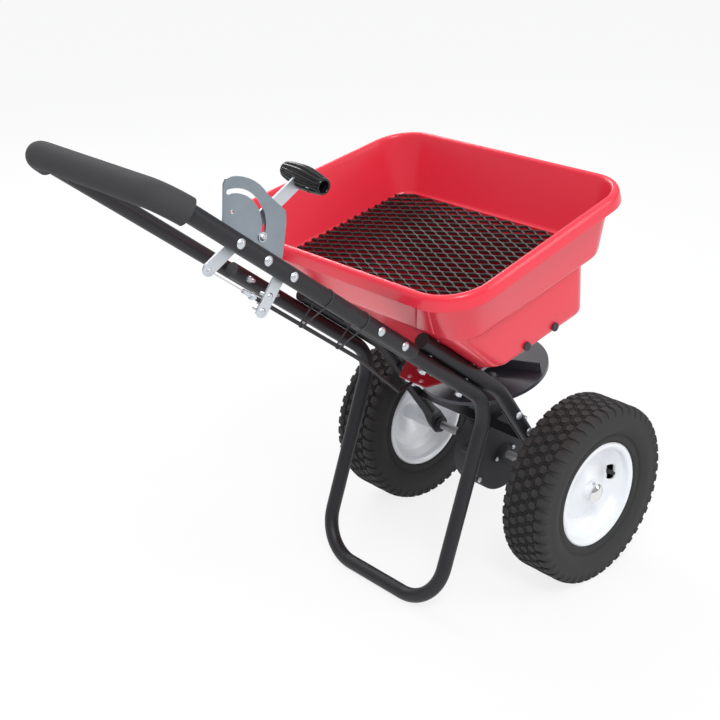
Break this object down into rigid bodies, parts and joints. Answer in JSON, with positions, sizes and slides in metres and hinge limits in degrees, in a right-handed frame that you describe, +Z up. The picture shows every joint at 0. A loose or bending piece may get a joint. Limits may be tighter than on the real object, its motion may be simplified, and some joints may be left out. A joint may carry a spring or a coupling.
{
  "type": "walk-behind broadcast spreader",
  "caption": "Walk-behind broadcast spreader: tapered hopper with a lift-out screen on a bent-tube frame, geared spinning impeller, pneumatic wheels and a cable-worked rate lever.",
  "frame": {"origin": "on the floor under the middle of the whole machine", "axes": "+X the way it is pushed, +Y the operator's left, +Z up; parked on both tyres and the floor bar"},
  "size_m": [0.984, 0.572, 0.8493],
  "materials": {
    "hopper_red": "smooth glossy moulded plastic",
    "black_paint": "gloss black powder coat",
    "black_plastic": "satin black plastic",
    "screen_black": "black coated expanded mesh",
    "zinc": "bright zinc plate",
    "steel": "bare bright steel",
    "plate_red": "dark red paint",
    "rim_white": "white gloss paint",
    "tyre_rubber": "black moulded rubber",
    "foam": "black closed-cell foam",
    "cap_chrome": "bright pressed cap",
    "bush_plastic": "natural nylon",
    "cable_black": "black cable sheath"
  },
  "bodies": {
    "frame": {"hopper": "hopper_red", "hopper_plugs": "black_plastic", "outlet_nuts": "zinc", "outlet_plate": "plate_red", "outlet_bolts": "zinc", "slide_guides": "zinc", "shaft_bush": "bush_plastic", "gearbox_case_left": "black_plastic", "gearbox_case_right": "black_plastic", "gearbox_bolts": "zinc", "axle_bearing_left": "black_plastic", "axle_bearing_right": "black_plastic", "handle_tube": "black_paint", "handle_grip": "foam", "leg_frame": "black_paint", "support_tube_left": "black_paint", "support_tube_right": "black_paint", "tube_plugs": "black_plastic", "cross_brace": "black_paint", "frame_bolts": "zinc", "frame_nuts": "zinc", "rate_plate": "zinc", "lever_pivot": "zinc", "cable_bracket": "zinc", "bracket_bolts": "zinc", "bracket_nuts": "zinc", "cable_clamp": "zinc", "cable_sheath": "cable_black", "cable_adjuster": "zinc", "cable_ties": "black_plastic", "cable_saddle": "zinc"},
    "axle_set": {"axle": "steel", "crown_gear": "steel", "drive_pin": "zinc", "rim_right": "rim_white", "tyre_right": "tyre_rubber", "valve_stem_right": "tyre_rubber", "hub_bush_right": "black_plastic", "axle_cap_left": "cap_chrome", "axle_cap_right": "cap_chrome", "axle_washers": "zinc"},
    "wheel_left": {"rim_left": "rim_white", "tyre_left": "tyre_rubber", "valve_stem_left": "tyre_rubber", "hub_bush_left": "black_plastic"},
    "output_set": {"output_shaft": "steel", "impeller": "black_plastic", "agitator": "steel", "pinion": "steel"},
    "lever": {"control_lever": "zinc", "lever_knob": "black_plastic", "knob_screw": "zinc"},
    "upper_wire": {"wire_upper": "steel"},
    "shutoff": {"shutoff_plate": "zinc", "wire_lower": "steel"},
    "rate_stop": {"stop_bolt": "zinc"},
    "screen": {"hopper_screen": "screen_black"}
  },
  "joints": [
    {"name": "axle_spin", "type": "hinge", "parent": "frame", "child": "axle_set", "pos_m": [0.32697, 0, 0.165], "axis": [0, 1, 0], "continuous": true},
    {"name": "left_wheel_spin", "type": "hinge", "parent": "frame", "child": "wheel_left", "pos_m": [0.32697, 0.21, 0.165], "axis": [0, 1, 0], "continuous": true},
    {"name": "output_spin", "type": "hinge", "parent": "frame", "child": "output_set", "pos_m": [0.28652, 0, 0.3445], "axis": [-0.2198, 0, 0.9755], "continuous": true},
    {"name": "lever_swing", "type": "hinge", "parent": "frame", "child": "lever", "pos_m": [-0.35908, -0.1423, 0.74434], "axis": [0, -1, 0], "range_deg": [0, 45]},
    {"name": "upper_wire_slide", "type": "slide", "parent": "frame", "child": "upper_wire", "axis": [0.7986, 0, -0.6018], "range_m": [0, 0.0389]},
    {"name": "shutoff_slide", "type": "slide", "parent": "frame", "child": "shutoff", "axis": [0.9755, 0, 0.2198], "range_m": [0, 0.0389]},
    {"name": "stop_slide", "type": "hinge", "parent": "frame", "child": "rate_stop", "pos_m": [-0.37045, -0.152, 0.7668], "axis": [0, -1, 0], "range_deg": [0, 114]},
    {"name": "screen_lift", "type": "slide", "parent": "frame", "child": "screen", "axis": [-0.2198, 0, 0.9755], "range_m": [0, 0.15]}
  ],
  "couplings": [
    {"joint": "output_spin", "follows": "axle_spin", "ratio": -5},
    {"joint": "upper_wire_slide", "follows": "lever_swing", "m_per_rad": 0.049529},
    {"joint": "shutoff_slide", "follows": "lever_swing", "m_per_rad": 0.049529}
  ]
}
